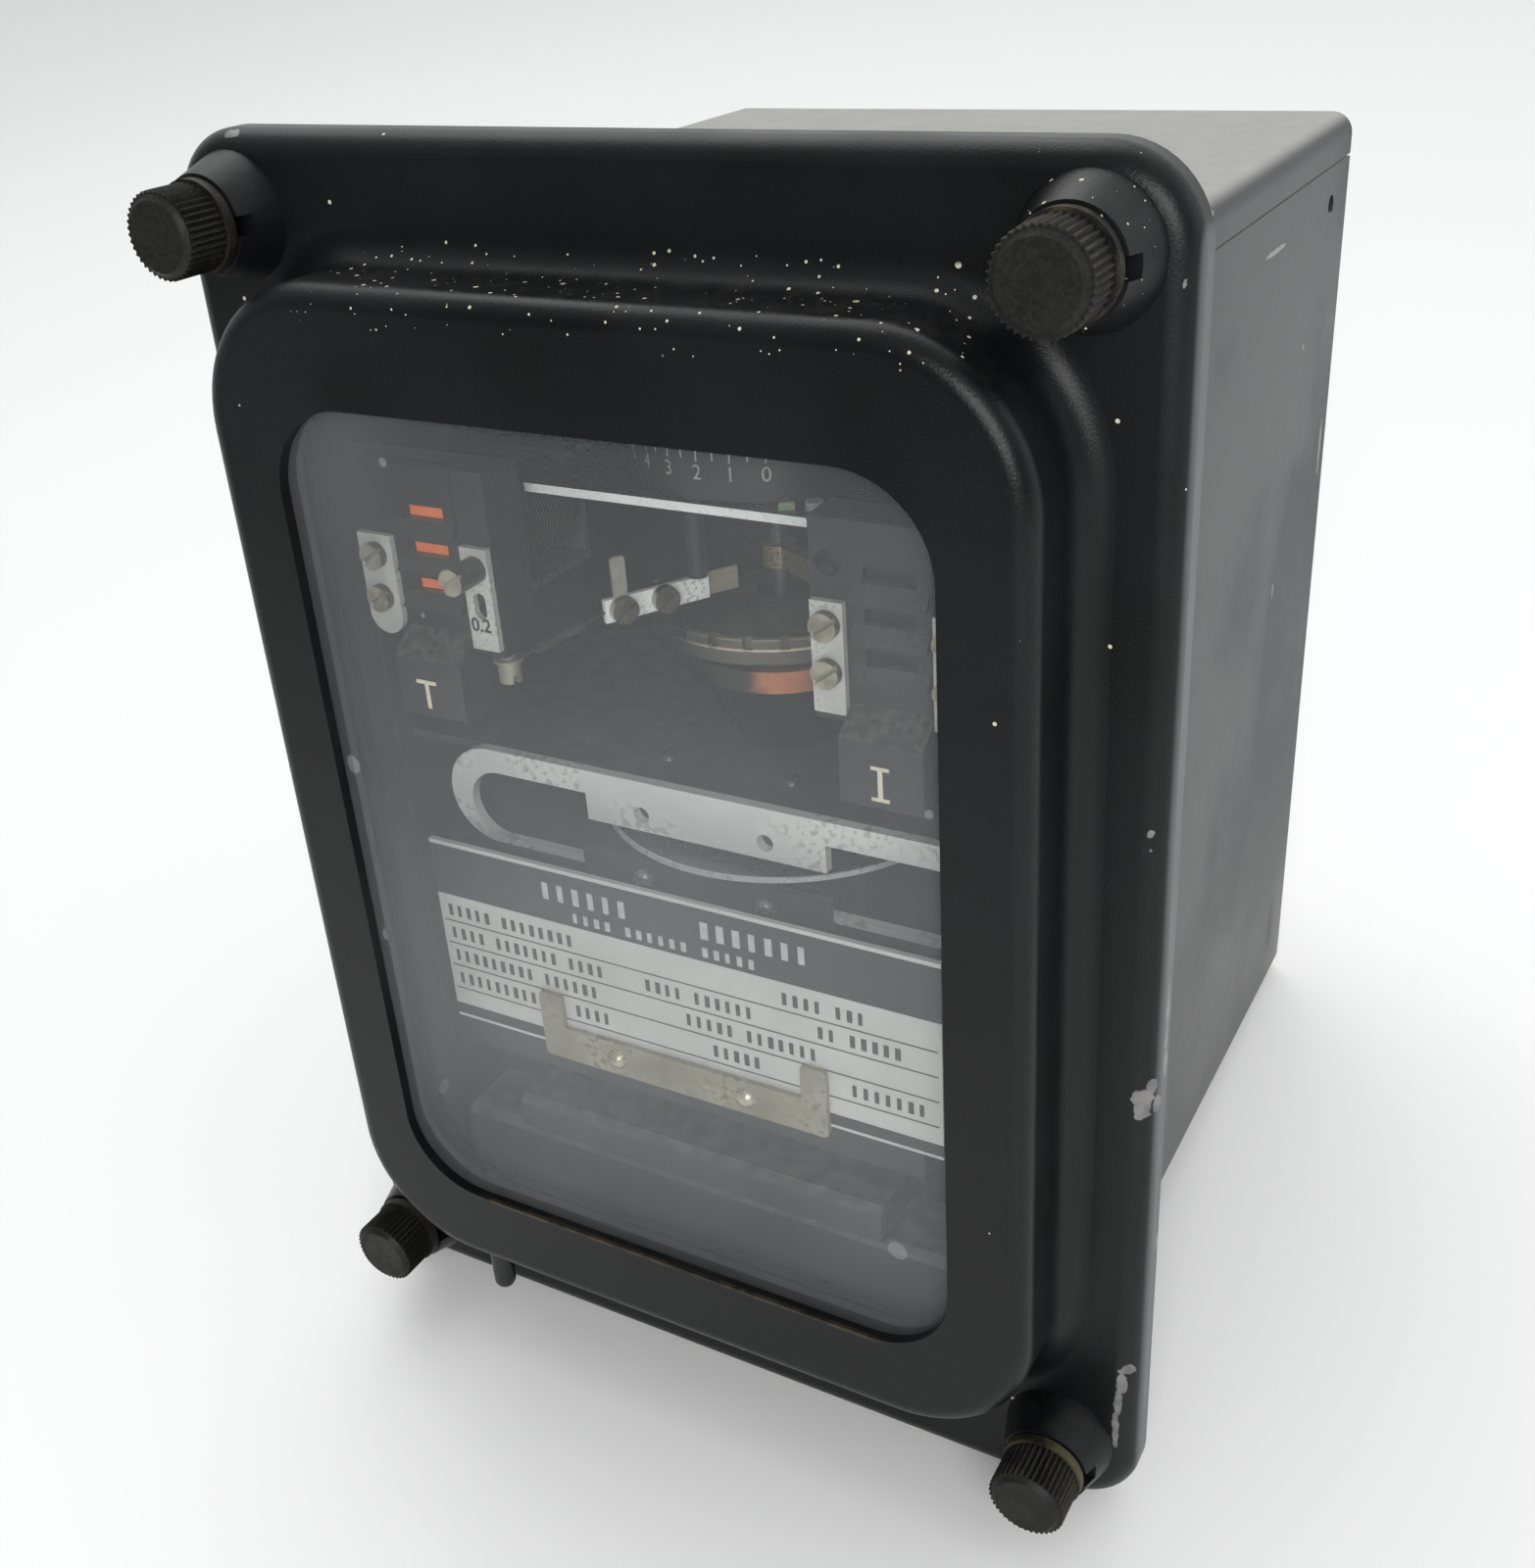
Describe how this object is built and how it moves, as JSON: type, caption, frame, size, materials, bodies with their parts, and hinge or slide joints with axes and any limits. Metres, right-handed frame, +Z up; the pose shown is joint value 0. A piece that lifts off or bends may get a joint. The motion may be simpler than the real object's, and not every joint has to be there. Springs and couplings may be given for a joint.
{
  "type": "protection relay",
  "caption": "Panel-mounted induction-disc protection relay in a black sheet-steel case with a screwed-on glass window cover, reset rod, target units and rear terminals.",
  "frame": {"origin": "middle of the panel screw holes, on the rear face of the mounting flange", "axes": "+X to the right seen from the front, +Y from the front to the back, +Z up"},
  "size_m": [0.168, 0.1952, 0.232],
  "materials": {
    "cover_paint": "satin black paint, chipped",
    "case_paint": "satin charcoal paint, scratched",
    "nut_metal": "blackened, worn on the knurl",
    "window": "hazy",
    "dark_steel": "satin black",
    "bright_steel": "plated",
    "moulding": "moulded black",
    "brass": "dull",
    "light_alloy": "satin",
    "copper": "dull copper",
    "iron": "dull",
    "seal": "matt",
    "flag_paint": "satin orange paint"
  },
  "bodies": {
    "case": {"mounting_flange": "case_paint", "case_wrap": "case_paint", "case_top": "case_paint", "cover_studs": "brass", "flange_gasket": "seal", "terminal_block": "moulding", "terminal_studs": "brass", "terminal_nuts": "brass", "cradle_frame": "dark_steel", "upper_plate": "bright_steel", "shelf_plate": "dark_steel", "lower_plate": "dark_steel", "cable_block": "moulding", "contact_fingers": "brass", "connection_plug": "moulding", "magnet_frame": "light_alloy", "damping_magnets": "iron", "keeper_plate": "dark_steel", "nameplate_bracket": "dark_steel", "nameplate": "light_alloy", "nameplate_clip": "bright_steel", "dome_screws": "bright_steel", "drive_core": "iron", "drive_coils": "copper", "lower_bearing": "brass", "upper_bearing": "brass", "spring_barrel": "moulding", "copper_band": "copper", "contact_post": "bright_steel", "contact_strip": "bright_steel", "contact_leaf": "brass", "unit_brackets": "dark_steel", "target_base": "moulding", "target_front": "moulding", "target_strips": "bright_steel", "target_coil": "copper", "target_yoke": "iron", "instant_base": "moulding", "instant_front": "moulding", "instant_strips": "bright_steel", "instant_coil": "copper", "instant_yoke": "iron", "slotted_screws": "bright_steel", "cover_shell": "cover_paint", "window_glass": "window", "glass_retainer": "cover_paint"},
    "nut_top_left": {"thumb_nut_top_left": "nut_metal"},
    "nut_top_right": {"thumb_nut_top_right": "nut_metal"},
    "nut_bottom_left": {"thumb_nut_bottom_left": "nut_metal"},
    "nut_bottom_right": {"thumb_nut_bottom_right": "nut_metal"},
    "reset_rod": {"reset_rod": "dark_steel"},
    "disc": {"induction_disc": "light_alloy", "disc_shaft": "bright_steel", "moving_contact": "brass"},
    "time_dial": {"time_dial": "moulding"},
    "spring_ring": {"spring_ring": "brass"},
    "target_flag": {"target_flag": "flag_paint"},
    "instant_flag": {"instant_flag": "flag_paint"},
    "target_armature": {"target_armature": "iron"},
    "instant_armature": {"instant_armature": "iron"}
  },
  "joints": [
    {"name": "turn_nut_top_left", "type": "hinge", "parent": "case", "child": "nut_top_left", "pos_m": [-0.0705, -0.0195, 0.1032], "axis": [0, 1, 0], "continuous": true},
    {"name": "turn_nut_top_right", "type": "hinge", "parent": "case", "child": "nut_top_right", "pos_m": [0.0705, -0.0195, 0.1032], "axis": [0, 1, 0], "continuous": true},
    {"name": "turn_nut_bottom_left", "type": "hinge", "parent": "case", "child": "nut_bottom_left", "pos_m": [-0.0705, -0.0195, -0.1011], "axis": [0, 1, 0], "continuous": true},
    {"name": "turn_nut_bottom_right", "type": "hinge", "parent": "case", "child": "nut_bottom_right", "pos_m": [0.0705, -0.0195, -0.1011], "axis": [0, 1, 0], "continuous": true},
    {"name": "push_reset_rod", "type": "slide", "parent": "case", "child": "reset_rod", "axis": [0, 0, 1], "range_m": [0, 0.008], "stiffness_N_per_m": 40, "springref_m": -0.004},
    {"name": "turn_disc", "type": "hinge", "parent": "case", "child": "disc", "pos_m": [0.0015, 0.033, 0], "axis": [0, 0, 1], "range_deg": [-50, 0], "stiffness_Nm_per_rad": 0.0002, "springref_deg": 11.46},
    {"name": "set_time_dial", "type": "hinge", "parent": "case", "child": "time_dial", "pos_m": [0.0015, 0.033, 0], "axis": [0, 0, 1], "range_deg": [-10, 120]},
    {"name": "set_spring_ring", "type": "hinge", "parent": "case", "child": "spring_ring", "pos_m": [0.0015, 0.033, 0], "axis": [0, 0, 1], "range_deg": [-90, 90]},
    {"name": "lift_target_flag", "type": "slide", "parent": "case", "child": "target_flag", "axis": [0, 0, 1], "range_m": [0, 0.0032]},
    {"name": "drop_instant_flag", "type": "slide", "parent": "case", "child": "instant_flag", "axis": [0, 0, 1], "range_m": [-0.0032, 0]},
    {"name": "pull_target_armature", "type": "hinge", "parent": "case", "child": "target_armature", "pos_m": [-0.0422, 0.0261, 0.03995], "axis": [1, 0, 0], "range_deg": [0, 3], "stiffness_Nm_per_rad": 0.004, "springref_deg": -17.19},
    {"name": "pull_instant_armature", "type": "hinge", "parent": "case", "child": "instant_armature", "pos_m": [0.0422, 0.0261, 0.03995], "axis": [1, 0, 0], "range_deg": [0, 3], "stiffness_Nm_per_rad": 0.004, "springref_deg": -17.19}
  ]
}
